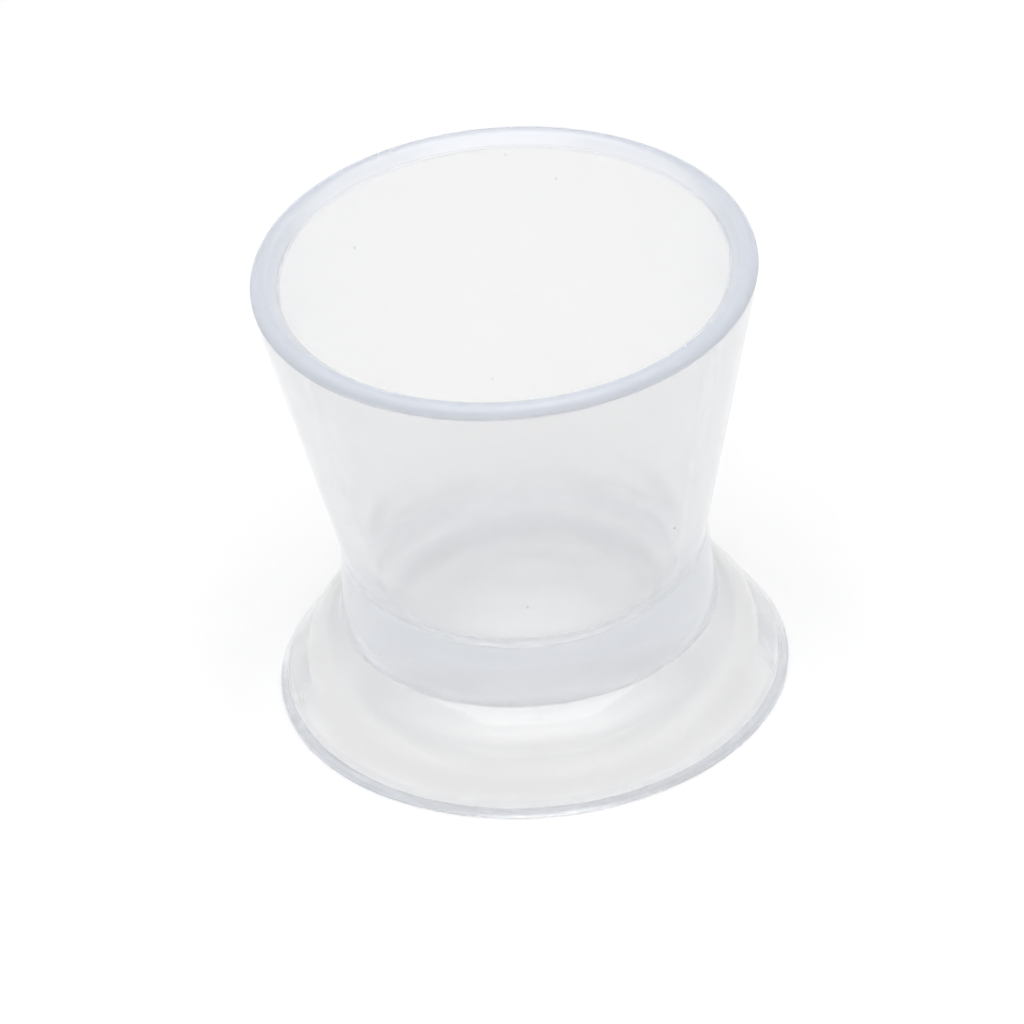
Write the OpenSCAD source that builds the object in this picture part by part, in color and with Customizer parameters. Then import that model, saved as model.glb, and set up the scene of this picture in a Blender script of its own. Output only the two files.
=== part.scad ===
// Small tapered mixing cup of clear silicone that stands on a flared suction foot.
// Everything is turned about the Z axis. The foot rests on the plane z = 0.

/* [Cup] */
// Outer diameter at the rim
rim_d = 50; // [44:0.5:60]
// Height from the table to the rim
cup_h = 48.8; // [42:0.2:60]
// Lean of the outer wall from the vertical, in degrees
outer_lean = 12.7; // [9:0.1:15]
// Lean of the inner wall from the vertical, in degrees
inner_lean = 12.2; // [10:0.1:14]
// Thickness of the wall at the rim, measured level at the foot of the slanted edge
rim_wall = 2.85; // [2.3:0.05:3.4]
// Width of the level top of the rim, out to the rim's outer diameter
rim_top_w = 1.55; // [1.2:0.05:1.8]
// How far the slanted inner edge of the rim drops below the top
rim_drop = 1.2; // [0.8:0.05:1.5]
// Radius of the rounded outer edge of the rim
rim_round = 1.05; // [0.3:0.05:1.1]
// Radius of the curve between the level top and the slanted inner edge
rim_top_round = 0.9; // [0.3:0.1:1]
// Radius of the curve between the slanted edge and the inner wall
rim_inner_round = 1.3; // [0.4:0.1:1.6]
// Height of the ring at the rim
rim_ring_h = 2.6; // [2.2:0.1:6]

/* [Floor of the cup] */
// Height of the inside floor above the table
floor_top = 12.3; // [11:0.1:13.6]
// Height at which the inner wall ends and the dished floor begins
dish_edge_z = 14.7; // [13.8:0.1:16.8]
// Radius of the curve of the dish, from its edge down to the flat middle
dish_round = 6.6; // [5:0.1:10]
// Width of the step on which the collar sits around the floor
floor_step = 1.4; // [0.8:0.1:2]

/* [Collar] */
// Height of the neck, where the cup is narrowest
neck_z = 17.4; // [17:0.1:20]
// Radius of the curve at the neck
neck_round = 4.7; // [2:0.1:10]
// How far the collar spreads from the neck down to the crease, on each side
collar_flare = 0.5; // [0.2:0.05:1.2]
// Height of the crease above the table
crease_z = 8.9; // [8:0.1:10]

/* [Suction foot] */
// Outer diameter of the lip on the table
foot_d = 50.7; // [46:0.1:60]
// How far outside the crease the skirt's straight side would pass at the crease's height
shoulder_out = 1.15; // [0.8:0.05:1.6]
// Radius of the shoulder that rounds the skirt into the crease
shoulder_round = 4.8; // [2:0.1:6]
// Thickness of the skirt at the table, measured square to its outer side
skirt_foot_t = 1.8; // [1.2:0.05:2.4]
// Thickness to which the skirt's inner line runs at the height of the crease
skirt_top_t = 0.55; // [0.3:0.05:1.6]
// Height of the domed hollow in the middle
hollow_h = 9.6; // [7:0.1:10.4]
// Radius of the dome over the hollow
dome_round = 50; // [40:1:90]
// Radius of the curve where the skirt meets the dome
hollow_round = 4.9; // [2:0.1:5.6]
// Height of the upright edge of the lip
lip_edge = 0.5; // [0.2:0.05:0.7]
// Height of the lip ring
lip_h = 1.2; // [0.9:0.1:2]

/* [Hidden] */
$fn = 96;
arc_step = 8;

// Points along an arc, from one angle to another, at most arc_step degrees apart
function arc(c, r, from, to) =
    let (n = ceil(abs(to - from) / arc_step))
    [for (i = [0:n]) c + r * [cos(from + (to - from) * i / n), sin(from + (to - from) * i / n)]];

// Points of the arc that rounds the corner at a point between two straight runs
function corner(before, at, after, r) =
    let (
        a = (before - at) / norm(before - at),
        b = (after - at) / norm(after - at),
        half = acos(a * b) / 2,
        c = at + (a + b) / norm(a + b) * r / sin(half),
        s = at + a * r / tan(half) - c,
        e = at + b * r / tan(half) - c,
        from = atan2(s.y, s.x)
    )
    arc(c, r, from, from + (atan2(e.y, e.x) - from + 540) % 360 - 180);

// A list without its first point
function rest(v) = [for (i = [1:len(v) - 1]) v[i]];

// Levels and radii that follow from the sizes above
rim_r = rim_d / 2;
foot_r = foot_d / 2;
rim_base_z = cup_h - rim_ring_h;
rim_top = [rim_r - rim_top_w, cup_h];
inner_top = [rim_r - rim_wall, cup_h - rim_drop];
slant = atan2(rim_drop, rim_wall - rim_top_w);
rim_edge = min(rim_round, rim_top_w - rim_top_round * tan(slant / 2) - 0.05);
rim_c = [rim_r - rim_edge, cup_h - rim_edge];

// Radius of the outer and of the inner wall at height z
function outer_r(z) = rim_c.x + rim_edge / cos(outer_lean) - (rim_c.y - z) * tan(outer_lean);
function inner_r(z) = inner_top.x - (inner_top.y - z) * tan(inner_lean);
rim_foot = [inner_r(rim_base_z), rim_base_z];

// Dish: its edge on the inner wall, and the centre of its curve over the edge of the flat middle
dish_edge = [inner_r(dish_edge_z), dish_edge_z];
dish_rise = dish_edge_z - floor_top;
dish_run = sqrt(dish_rise * (2 * dish_round - dish_rise));
dish_c = [dish_edge.x - dish_run, floor_top + dish_round];
dish_turn = atan2(dish_rise - dish_round, dish_run);
floor_body_r = dish_edge.x + floor_step;

// Lean of the collar and the curve at the neck
neck_r = outer_r(neck_z);
crease_r = neck_r + collar_flare;
collar_lean = atan((crease_r - neck_r) / (neck_z - crease_z));
neck_turn = (outer_lean + collar_lean) / 2;
neck_reach = neck_round * tan(neck_turn);
collar_top_z = neck_z + neck_reach * cos(outer_lean);
neck_c = [outer_r(collar_top_z), collar_top_z] + neck_round * [cos(outer_lean), -sin(outer_lean)];

// Skirt: its outer line, and its inner line, which leans less
skirt_top_r = crease_r + shoulder_out;
skirt_lean = atan((foot_r - skirt_top_r) / (crease_z - lip_edge));
function skirt_r(z) = skirt_top_r + (crease_z - z) * tan(skirt_lean);
hollow_foot_r = skirt_r(0) - skirt_foot_t / cos(skirt_lean);
hollow_lean = atan((hollow_foot_r - skirt_top_r + skirt_top_t / cos(skirt_lean)) / crease_z);
function hollow_r(z) = hollow_foot_r - z * tan(hollow_lean);

// Shoulder: an arc that starts at the crease and runs into the skirt's straight side
shoulder_gap = shoulder_out * cos(skirt_lean);
shoulder_c = [crease_r, crease_z]
    + sqrt(shoulder_gap * (2 * shoulder_round - shoulder_gap)) * [sin(skirt_lean), -cos(skirt_lean)]
    - (shoulder_round - shoulder_gap) * [cos(skirt_lean), sin(skirt_lean)];
shoulder_turn = atan2(crease_z - shoulder_c.y, crease_r - shoulder_c.x);

// Roof of the hollow: the dome, and the curve that touches both the dome and the skirt's inner line
dome_c = [0, hollow_h - dome_round];
inner_line = [-sin(hollow_lean), cos(hollow_lean)];
curve_start = [hollow_foot_r, 0] - hollow_round * [cos(hollow_lean), sin(hollow_lean)];
curve_gap = curve_start - dome_c;
curve_way = curve_gap * inner_line;
curve_reach = dome_round - hollow_round;
hollow_c = curve_start
    + (sqrt(curve_way * curve_way - curve_gap * curve_gap + curve_reach * curve_reach) - curve_way) * inner_line;
join_r = (hollow_c.x - dome_c.x) * dome_round / curve_reach;
skirt_in_r = hollow_c.x + hollow_round * cos(hollow_lean);

// Points along the roof of the hollow, from one radius to a larger one
function dome_part(from, to) = arc(dome_c, dome_round, acos(from / dome_round), acos(to / dome_round));
function curve_part(from, to) =
    arc(hollow_c, hollow_round, acos((from - hollow_c.x) / hollow_round), acos((to - hollow_c.x) / hollow_round));
function roof(from, to) =
    to <= join_r ? dome_part(from, to)
    : from >= join_r ? curve_part(from, to)
    : concat(dome_part(from, join_r), rest(curve_part(join_r, to)));

// Rounded ring at the top of the wall
module pouring_rim() {
    color([0.90, 0.91, 0.94, 0.6])
    rotate_extrude()
        polygon(concat(
            [rim_foot, [outer_r(rim_base_z), rim_base_z]],
            arc(rim_c, rim_edge, -outer_lean, 90),
            corner(rim_c + [0, rim_edge], rim_top, inner_top, rim_top_round),
            corner(rim_top, inner_top, rim_foot, rim_inner_round)
        ));
}

// Tapered wall between the neck and the rim
module cup_wall() {
    color([0.94, 0.95, 0.97, 0.5])
    rotate_extrude()
        polygon([
            [inner_r(collar_top_z), collar_top_z],
            [outer_r(collar_top_z), collar_top_z],
            [outer_r(rim_base_z), rim_base_z],
            rim_foot
        ]);
}

// Thick ring from the neck down to the crease, seated round the floor
module neck_collar() {
    color([0.84, 0.86, 0.91, 0.7])
    rotate_extrude()
        polygon(concat(
            roof(floor_body_r, crease_r),
            [[crease_r, crease_z]],
            arc(neck_c, neck_round, 180 + collar_lean, 180 - outer_lean),
            [[inner_r(collar_top_z), collar_top_z], dish_edge, [floor_body_r, dish_edge_z]]
        ));
}

// Dished floor of the cup, domed underneath
module cup_floor() {
    color([0.88, 0.89, 0.91, 0.7])
    rotate_extrude()
        polygon(concat(
            roof(0, floor_body_r),
            [[floor_body_r, dish_edge_z]],
            arc(dish_c, dish_round, dish_turn, -90),
            [[0, floor_top]]
        ));
}

// Flared skirt from the crease down to the lip
module suction_skirt() {
    color([0.92, 0.93, 0.94, 0.5])
    rotate_extrude()
        polygon(concat(
            [[crease_r, crease_z]],
            roof(crease_r, skirt_in_r),
            [[hollow_r(lip_h), lip_h], [skirt_r(lip_h), lip_h]],
            arc(shoulder_c, shoulder_round, skirt_lean, shoulder_turn)
        ));
}

// Thin ring that lies on the table and seals
module sealing_lip() {
    color([0.85, 0.87, 0.93, 0.7])
    rotate_extrude()
        polygon([
            [hollow_r(0), 0],
            [foot_r, 0],
            [foot_r, lip_edge],
            [skirt_r(lip_h), lip_h],
            [hollow_r(lip_h), lip_h]
        ]);
}

pouring_rim();
cup_wall();
neck_collar();
cup_floor();
suction_skirt();
sealing_lip();
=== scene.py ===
import math

import bpy
from mathutils import Matrix, Vector


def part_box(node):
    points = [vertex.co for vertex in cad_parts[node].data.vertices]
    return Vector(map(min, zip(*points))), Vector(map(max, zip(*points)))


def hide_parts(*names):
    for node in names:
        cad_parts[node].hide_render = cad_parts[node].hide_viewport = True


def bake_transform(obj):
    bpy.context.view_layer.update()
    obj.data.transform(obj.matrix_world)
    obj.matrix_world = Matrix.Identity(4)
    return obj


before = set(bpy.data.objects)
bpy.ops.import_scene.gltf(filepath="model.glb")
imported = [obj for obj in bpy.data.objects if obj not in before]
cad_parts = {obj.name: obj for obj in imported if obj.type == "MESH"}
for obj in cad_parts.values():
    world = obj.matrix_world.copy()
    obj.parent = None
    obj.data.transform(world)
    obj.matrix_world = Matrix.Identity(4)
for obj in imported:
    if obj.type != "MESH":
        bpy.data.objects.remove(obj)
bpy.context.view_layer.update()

# Sizes of the cup in metres: levels and radii from the frame, walls and curves as in part.scad
MM = 0.001
RIM_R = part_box("pouring_rim")[1].x
CUP_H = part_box("pouring_rim")[1].z
FOOT_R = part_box("sealing_lip")[1].x
CREASE_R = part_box("neck_collar")[1].x
CREASE_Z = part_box("suction_skirt")[1].z
OUTER_LEAN = math.radians(12.7)
INNER_LEAN = math.radians(12.2)
RIM_WALL = 2.85 * MM
RIM_ROUND = 1.05 * MM
RIM_TOP_W = 1.55 * MM
RIM_DROP = 1.2 * MM
RIM_TOP_ROUND = 0.9 * MM
RIM_INNER_ROUND = 1.3 * MM
BOWL_EDGE_Z = 14.7 * MM
FLOOR_TOP = 12.3 * MM
FLOOR_ROUND = 6.6 * MM
NECK_Z = 17.4 * MM
NECK_ROUND = 4.7 * MM
CREASE_ROUND = 0.02 * MM
SHOULDER_OUT = 1.15 * MM
SHOULDER_ROUND = 4.8 * MM
SHOULDER_FIT = 0.999
SKIRT_FOOT_T = 1.8 * MM
SKIRT_TOP_T = 0.55 * MM
HOLLOW_TOP = 9.6 * MM
DOME_ROUND = 50 * MM
HOLLOW_ROUND = 4.9 * MM
LIP_EDGE = 0.5 * MM
LIP_SOFT = 0.12 * MM

# Fineness of the turned mesh
SEGMENTS = 288
ARC_STEP = math.radians(6)
LINE_STEP = 0.9 * MM

# Silicone: clear, faintly milky and blue-white; the rim's top and the lip are more satin, with painted shade
# on the rim's top and painted light along the lip
SILICONE_IOR = 1.41
CLEAR_TINT = (0.975, 0.968, 0.958, 1)
CLEAR_ROUGH = 0.105
CLEARNESS = 0.98
# Painted tone: a darker, bluer, less clear mix is painted shade on the rim's top and its inner slant; on the
# lip a quarter of the same mix stands in for the light along the lip
PAINTED_TINT = (0.755, 0.785, 0.855, 1)
SATIN_ROUGH = 0.25
PAINTED_CLEARNESS = 0.5
RIM_SATIN_SHADE_Z = (47.4 * MM, 48.0 * MM)
RIM_SATIN_SHADE_R = (RIM_R - 1.9 * MM, RIM_R - 1.3 * MM)
SLANT_SATIN_SHADE = 0.75
LIP_SATIN_LIGHT_Z = (0.9 * MM, 0.5 * MM)
LIP_SATIN_LIGHT = 0.25
MILK = (0.94, 0.95, 0.975, 1)
MILK_DENSITY = 122
MILK_FORWARD = 0.4
BLUE = (0.42, 0.56, 0.78, 1)
BLUE_DENSITY = 10

# Marks of moulding and use: uneven gloss, satin grain, specks of dust
GLOSS_PATCH = 6 * MM
GLOSS_SPREAD = 0.025
GLOSS_NOISE = (0.3, 0.7)
GLOSS_DETAIL = 3
GRAIN_SIZE = 0.3 * MM
GRAIN_DEPTH = 0.006 * MM
GRAIN_DETAIL = 2
DUST_SPACING = 6 * MM
DUST_SIZE = 0.16 * MM
DUST_CORE = 0.7
DUST_ENDS_AT_SATIN_PAINT = 0.1
DUST_TINT = (0.82, 0.8, 0.78, 1)

# Studio: two overhead softboxes, a room that is white at the horizon and dimmer above it, a white table
BOX_POWER = 3.75
BOX_AT = (0.23, -0.2, 1.0)
BOX_SIZE = (0.44, 1.0)
ROOM_HORIZON = 1.0
ROOM_TOP = 0.49
ROOM_FALL = (0.02, 0.2)
TABLE_HALF = 1.5
TABLE_DROP = 0.05 * MM
TABLE_SEEN = 0.93
TABLE_GLOW = 0.06
TABLE_FALL = (0.15, 0.9)
TABLE_BOUNCE = 0.35

# Camera: far away with a long lens, rolled a little, as the photograph shows
CAMERA_FAR = 1.5
CAMERA_UP = math.radians(35.2)
CAMERA_ROLL = math.radians(4.5)
CAMERA_END = 20
SENSOR_MM = 36
PIXELS_PER_M = 10108
FRAME_PX = 1024
MIDDLE_PX = (519.3, 468.0)


def arc(centre, radius, start, end):
    """Points along an arc, from one angle to another."""
    steps = max(2, math.ceil(abs(end - start) / ARC_STEP))
    angles = [start + (end - start) * i / steps for i in range(steps + 1)]
    return [centre + radius * Vector((math.cos(a), math.sin(a))) for a in angles]


def corner(before, at, after, radius):
    """Points of the arc that rounds the corner at a point between two straight runs."""
    a = (before - at).normalized()
    b = (after - at).normalized()
    half = 0.5 * math.acos(max(-1.0, min(1.0, a.dot(b))))
    reach = radius / math.tan(half)
    centre = at + (a + b).normalized() * radius / math.sin(half)
    start = at + a * reach - centre
    end = at + b * reach - centre
    first = math.atan2(start.y, start.x)
    turn = math.atan2(start.x * end.y - start.y * end.x, start.dot(end))
    return arc(centre, radius, first, first + turn)


def hollow_roof():
    """Points along the hollow's roof, from its top to the skirt's inner line, and the skirt's inner foot."""
    slope = (FOOT_R - CREASE_R - SHOULDER_OUT) / (CREASE_Z - LIP_EDGE)
    square = math.sqrt(1 + slope * slope)
    foot = Vector((FOOT_R + slope * LIP_EDGE - SKIRT_FOOT_T * square, 0))
    top = Vector((CREASE_R + SHOULDER_OUT - SKIRT_TOP_T * square, CREASE_Z))
    along = (top - foot).normalized()
    inward = Vector((-along.y, along.x))
    dome = Vector((0, HOLLOW_TOP - DOME_ROUND))
    start = foot + inward * HOLLOW_ROUND
    gap = start - dome
    way = gap.dot(along)
    reach = DOME_ROUND - HOLLOW_ROUND
    curve = start + along * (math.sqrt(way * way - gap.length_squared + reach * reach) - way)
    join = math.atan2(curve.y - dome.y, curve.x - dome.x)
    skirt_side = math.atan2(-inward.y, -inward.x)
    roof = arc(dome, DOME_ROUND, math.pi / 2, join) + arc(curve, HOLLOW_ROUND, join, skirt_side)[1:]
    roof[0].x = 0
    return roof, foot


def shoulder_corner():
    """The corner whose rounding starts at the crease and runs into the skirt's straight side."""
    line_top = Vector((CREASE_R + SHOULDER_OUT, CREASE_Z))
    along = (line_top - Vector((FOOT_R, LIP_EDGE))).normalized()
    turn = math.acos(1 - SHOULDER_OUT * along.y / SHOULDER_ROUND)
    start = math.atan2(along.y, -along.x) - turn
    reach = SHOULDER_ROUND * math.tan(turn / 2)
    return Vector((CREASE_R, CREASE_Z)) + Vector((math.cos(start), -math.sin(start))) * reach


def outline():
    """The cup's section as points (radius, height), from the top of the hollow round to the inside floor."""
    rim_edge = RIM_R - RIM_ROUND + RIM_ROUND / math.cos(OUTER_LEAN) + RIM_ROUND * math.tan(OUTER_LEAN)
    outer_top = Vector((rim_edge, CUP_H))
    neck = Vector((rim_edge - (CUP_H - NECK_Z) * math.tan(OUTER_LEAN), NECK_Z))
    rim_top = Vector((RIM_R - RIM_TOP_W, CUP_H))
    inner_top = Vector((RIM_R - RIM_WALL, CUP_H - RIM_DROP))
    bowl_edge = Vector((inner_top.x - (inner_top.y - BOWL_EDGE_Z) * math.tan(INNER_LEAN), BOWL_EDGE_Z))
    rise = BOWL_EDGE_Z - FLOOR_TOP
    dish = Vector((bowl_edge.x - math.sqrt(rise * (2 * FLOOR_ROUND - rise)), FLOOR_TOP + FLOOR_ROUND))
    roof, foot = hollow_roof()
    corners = [
        (foot, LIP_SOFT),
        (Vector((FOOT_R, 0)), LIP_SOFT),
        (Vector((FOOT_R, LIP_EDGE)), LIP_SOFT),
        (shoulder_corner(), SHOULDER_ROUND * SHOULDER_FIT),
        (Vector((CREASE_R, CREASE_Z)), CREASE_ROUND),
        (neck, NECK_ROUND),
        (outer_top, RIM_ROUND),
        (rim_top, RIM_TOP_ROUND),
        (inner_top, RIM_INNER_ROUND),
    ]
    stops = [roof[-1]] + [at for at, _ in corners] + [bowl_edge]
    loop = roof
    for i, (at, radius) in enumerate(corners):
        loop = loop + corner(stops[i], at, stops[i + 2], radius)
    loop += arc(dish, FLOOR_ROUND, math.asin((BOWL_EDGE_Z - dish.y) / FLOOR_ROUND), -math.pi / 2)
    loop.append(Vector((0, FLOOR_TOP)))
    fine = [loop[0]]
    for point in loop[1:]:
        last = fine[-1]
        parts = max(1, math.ceil((point - last).length / LINE_STEP))
        fine += [last.lerp(point, k / parts) for k in range(1, parts + 1)]
    return fine


def lathe(name, section):
    """A closed mesh turned about Z from a section whose two ends lie on the axis."""
    verts = [(0, 0, section[0].y)]
    for p in section[1:-1]:
        for k in range(SEGMENTS):
            a = 2 * math.pi * k / SEGMENTS
            verts.append((p.x * math.cos(a), p.x * math.sin(a), p.y))
    verts.append((0, 0, section[-1].y))
    faces = []
    rings = len(section) - 2
    last_ring = 1 + (rings - 1) * SEGMENTS
    for k in range(SEGMENTS):
        n = (k + 1) % SEGMENTS
        faces.append((0, 1 + n, 1 + k))
        for r in range(rings - 1):
            a = 1 + r * SEGMENTS
            b = a + SEGMENTS
            faces.append((a + k, a + n, b + n, b + k))
        faces.append((last_ring + k, last_ring + n, len(verts) - 1))
    mesh = bpy.data.meshes.new(name)
    mesh.from_pydata(verts, [], faces)
    mesh.validate()
    for poly in mesh.polygons:
        poly.use_smooth = True
    obj = bpy.data.objects.new(name, mesh)
    bpy.context.scene.collection.objects.link(obj)
    return obj


class Shading:
    """Short ways to add nodes to one material or world."""

    def __init__(self, tree):
        self.nodes, self.links = tree.nodes, tree.links

    def put(self, socket, value):
        if isinstance(value, bpy.types.NodeSocket):
            self.links.new(value, socket)
        else:
            socket.default_value = value

    def math(self, how, a, b):
        node = self.nodes.new("ShaderNodeMath")
        node.operation = how
        self.put(node.inputs[0], a)
        self.put(node.inputs[1], b)
        return node.outputs[0]

    def spread(self, value, low, high, to_low=0.0, to_high=1.0):
        """Maps the range low to high smoothly onto to_low to to_high."""
        node = self.nodes.new("ShaderNodeMapRange")
        node.interpolation_type = "SMOOTHSTEP"
        numbers = {"Value": value, "From Min": low, "From Max": high, "To Min": to_low, "To Max": to_high}
        for name, number in numbers.items():
            self.put(node.inputs[name], number)
        return node.outputs["Result"]

    def mix(self, weight, a, b):
        node = self.nodes.new("ShaderNodeMix")
        node.data_type = "RGBA"
        self.put(node.inputs["Factor"], weight)
        # Sockets 6 and 7 are the two colours
        self.put(node.inputs[6], a)
        self.put(node.inputs[7], b)
        return node.outputs[2]

    def noise(self, place, size, detail):
        node = self.nodes.new("ShaderNodeTexNoise")
        self.put(node.inputs["Vector"], place)
        node.inputs["Scale"].default_value = 1 / size
        node.inputs["Detail"].default_value = detail
        return node.outputs[0]


def silicone():
    """Clear, faintly milky silicone, more satin on the rim's top and lip, with painted shade on the rim's
    top and painted light along the lip, grain and specks of dust.
    """
    mat = bpy.data.materials.new("clear_silicone")
    mat.use_nodes = True
    s = Shading(mat.node_tree)
    shader = s.nodes["Principled BSDF"]
    # Places in metres on the cup at rest, which stay with the silicone when the cup is pressed down
    at_rest = s.nodes.new("ShaderNodeVectorMath")
    at_rest.operation = "MULTIPLY_ADD"
    s.put(at_rest.inputs[0], s.nodes.new("ShaderNodeTexCoord").outputs["Generated"])
    at_rest.inputs[1].default_value = (2 * FOOT_R, 2 * FOOT_R, CUP_H)
    at_rest.inputs[2].default_value = (-FOOT_R, -FOOT_R, 0)
    place = at_rest.outputs[0]
    axes = s.nodes.new("ShaderNodeSeparateXYZ")
    s.put(axes.inputs[0], place)
    x, y, z = axes.outputs
    radius = s.math("SQRT", s.math("ADD", s.math("MULTIPLY", x, x), s.math("MULTIPLY", y, y)), 0.0)

    # Mask of the rim's top and the lip: rougher there, with painted shade on the rim's top and painted light
    # along the lip, set through the tint and clearness below
    on_top = s.spread(radius, *RIM_SATIN_SHADE_R, SLANT_SATIN_SHADE, 1)
    rim_painted_shade = s.math("MULTIPLY", s.spread(z, *RIM_SATIN_SHADE_Z), on_top)
    lip_painted_light = s.math("MULTIPLY", s.spread(z, *LIP_SATIN_LIGHT_Z), LIP_SATIN_LIGHT)
    satin_and_painted_light = s.math("MAXIMUM", rim_painted_shade, lip_painted_light)

    cells = s.nodes.new("ShaderNodeTexVoronoi")
    s.put(cells.inputs["Vector"], place)
    cells.inputs["Scale"].default_value = 1 / DUST_SPACING
    speck = DUST_SIZE / DUST_SPACING
    anywhere = s.spread(cells.outputs["Distance"], DUST_CORE * speck, speck, 1, 0)
    dust = s.math("MULTIPLY", anywhere, s.spread(satin_and_painted_light, 0, DUST_ENDS_AT_SATIN_PAINT, 1, 0))

    patches = s.noise(place, GLOSS_PATCH, GLOSS_DETAIL)
    uneven = s.spread(patches, *GLOSS_NOISE, -GLOSS_SPREAD, GLOSS_SPREAD)
    gloss = s.math("ADD", s.spread(satin_and_painted_light, 0, 1, CLEAR_ROUGH, SATIN_ROUGH), uneven)
    # Painted shade and light: the mask's darker blue tint and lower clearness
    tint = s.mix(satin_and_painted_light, CLEAR_TINT, PAINTED_TINT)
    clearness = s.spread(satin_and_painted_light, 0, 1, CLEARNESS, PAINTED_CLEARNESS)
    s.put(shader.inputs["Base Color"], s.mix(dust, tint, DUST_TINT))
    s.put(shader.inputs["Roughness"], gloss)
    s.put(shader.inputs["Transmission Weight"], s.math("MULTIPLY", clearness, s.math("SUBTRACT", 1.0, dust)))
    shader.inputs["IOR"].default_value = SILICONE_IOR

    grain = s.nodes.new("ShaderNodeBump")
    s.put(grain.inputs["Height"], s.noise(place, GRAIN_SIZE, GRAIN_DETAIL))
    grain.inputs["Distance"].default_value = GRAIN_DEPTH
    s.put(shader.inputs["Normal"], grain.outputs[0])

    milk = s.nodes.new("ShaderNodeVolumeScatter")
    milk.inputs["Color"].default_value = MILK
    milk.inputs["Density"].default_value = MILK_DENSITY
    milk.inputs["Anisotropy"].default_value = MILK_FORWARD
    blue = s.nodes.new("ShaderNodeVolumeAbsorption")
    blue.inputs["Color"].default_value = BLUE
    blue.inputs["Density"].default_value = BLUE_DENSITY
    inside = s.nodes.new("ShaderNodeAddShader")
    s.put(inside.inputs[0], milk.outputs[0])
    s.put(inside.inputs[1], blue.outputs[0])
    s.put(s.nodes["Material Output"].inputs["Volume"], inside.outputs[0])
    return mat


def room():
    """White to the camera; for other rays white at the horizon and dimmer above it."""
    world = bpy.data.worlds.new("studio")
    bpy.context.scene.world = world
    world.use_nodes = True
    s = Shading(world.node_tree)
    axes = s.nodes.new("ShaderNodeSeparateXYZ")
    s.put(axes.inputs[0], s.nodes.new("ShaderNodeTexCoord").outputs["Generated"])
    seen = s.nodes.new("ShaderNodeLightPath").outputs["Is Camera Ray"]
    level = s.spread(axes.outputs["Z"], *ROOM_FALL, ROOM_HORIZON, ROOM_TOP)
    background = s.nodes["Background"]
    background.inputs["Color"].default_value = (1, 1, 1, 1)
    s.put(background.inputs["Strength"], s.math("MAXIMUM", level, seen))


def table():
    """A white table that keeps the cup's shadow, and returns less light to the silicone."""
    h = TABLE_HALF
    mesh = bpy.data.meshes.new("table")
    mesh.from_pydata([(-h, -h, 0), (h, -h, 0), (h, h, 0), (-h, h, 0)], [], [(0, 1, 2, 3)])
    obj = bpy.data.objects.new("table", mesh)
    obj.location.z = -TABLE_DROP
    bpy.context.scene.collection.objects.link(obj)
    mat = bpy.data.materials.new("table")
    mat.use_nodes = True
    s = Shading(mat.node_tree)
    s.nodes.remove(s.nodes["Principled BSDF"])
    path = s.nodes.new("ShaderNodeLightPath")
    mirrored = s.math("MAXIMUM", path.outputs["Is Glossy Ray"], path.outputs["Is Transmission Ray"])
    seen = s.math("MAXIMUM", path.outputs["Is Camera Ray"], mirrored)
    surface = s.nodes.new("ShaderNodeBsdfDiffuse")
    s.put(surface.inputs["Color"], s.mix(seen, (TABLE_BOUNCE,) * 3 + (1,), (TABLE_SEEN,) * 3 + (1,)))
    glow = s.nodes.new("ShaderNodeEmission")
    place = s.nodes.new("ShaderNodeTexCoord").outputs["Object"]
    away = s.nodes.new("ShaderNodeVectorMath")
    away.operation = "LENGTH"
    s.put(away.inputs[0], place)
    level = s.spread(away.outputs["Value"], *TABLE_FALL, TABLE_GLOW, 1)
    s.put(glow.inputs["Strength"], s.math("MULTIPLY", seen, level))
    both = s.nodes.new("ShaderNodeAddShader")
    s.put(both.inputs[0], surface.outputs[0])
    s.put(both.inputs[1], glow.outputs[0])
    s.put(s.nodes["Material Output"].inputs["Surface"], both.outputs[0])
    obj.data.materials.append(mat)


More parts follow.
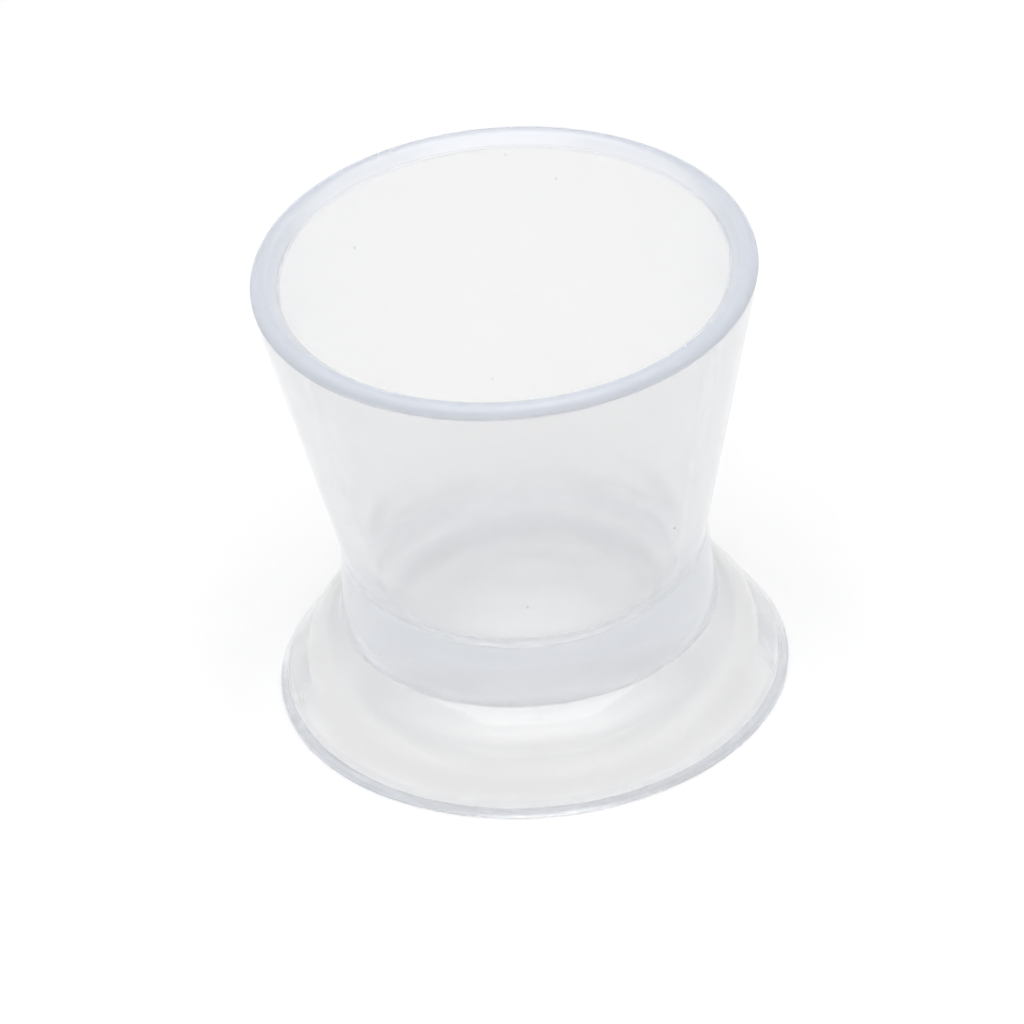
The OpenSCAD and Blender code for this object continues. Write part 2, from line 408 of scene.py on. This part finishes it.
def softboxes():
    """Two softboxes side by side overhead, level and facing down."""
    for name, side in (("softbox_left", -1), ("softbox_right", 1)):
        data = bpy.data.lights.new(name, "AREA")
        data.shape = "RECTANGLE"
        data.size, data.size_y = BOX_SIZE
        data.energy = BOX_POWER
        obj = bpy.data.objects.new(name, data)
        obj.location = (side * BOX_AT[0], BOX_AT[1], BOX_AT[2])
        bpy.context.scene.collection.objects.link(obj)


def camera():
    """Camera at the photograph's angle, aimed so that the cup's middle falls on MIDDLE_PX."""
    up0 = Vector((0, math.sin(CAMERA_UP), math.cos(CAMERA_UP)))
    right0 = Vector((1, 0, 0))
    back = Vector((0, -math.cos(CAMERA_UP), math.sin(CAMERA_UP)))
    right = right0 * math.cos(CAMERA_ROLL) - up0 * math.sin(CAMERA_ROLL)
    up = up0 * math.cos(CAMERA_ROLL) + right0 * math.sin(CAMERA_ROLL)
    dx = (MIDDLE_PX[0] - FRAME_PX / 2) / PIXELS_PER_M
    dy = (FRAME_PX / 2 - MIDDLE_PX[1]) / PIXELS_PER_M
    place = Vector((0, 0, CUP_H / 2)) - right * dx - up * dy + back * CAMERA_FAR
    data = bpy.data.cameras.new("camera")
    data.sensor_width = SENSOR_MM
    data.lens = SENSOR_MM * PIXELS_PER_M * CAMERA_FAR / FRAME_PX
    data.clip_end = CAMERA_END
    obj = bpy.data.objects.new("camera", data)
    obj.matrix_world = Matrix([[right[i], up[i], back[i], place[i]] for i in range(3)] + [[0, 0, 0, 1]])
    bpy.context.scene.collection.objects.link(obj)
    bpy.context.scene.camera = obj


camera()
room()
table()
softboxes()
cup = lathe("silicone_cup", outline())
cup.data.materials.append(silicone())
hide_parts("pouring_rim", "cup_wall", "neck_collar", "cup_floor", "suction_skirt", "sealing_lip")
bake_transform(cup)

# Light passes the cup's walls many times, and no bounce of it is blurred
scene = bpy.context.scene
scene.cycles.max_bounces = 32
scene.cycles.transmission_bounces = 32
scene.cycles.glossy_bounces = 24
scene.cycles.diffuse_bounces = 8
scene.cycles.volume_bounces = 10
scene.cycles.blur_glossy = 0
scene.view_settings.view_transform = "Standard"
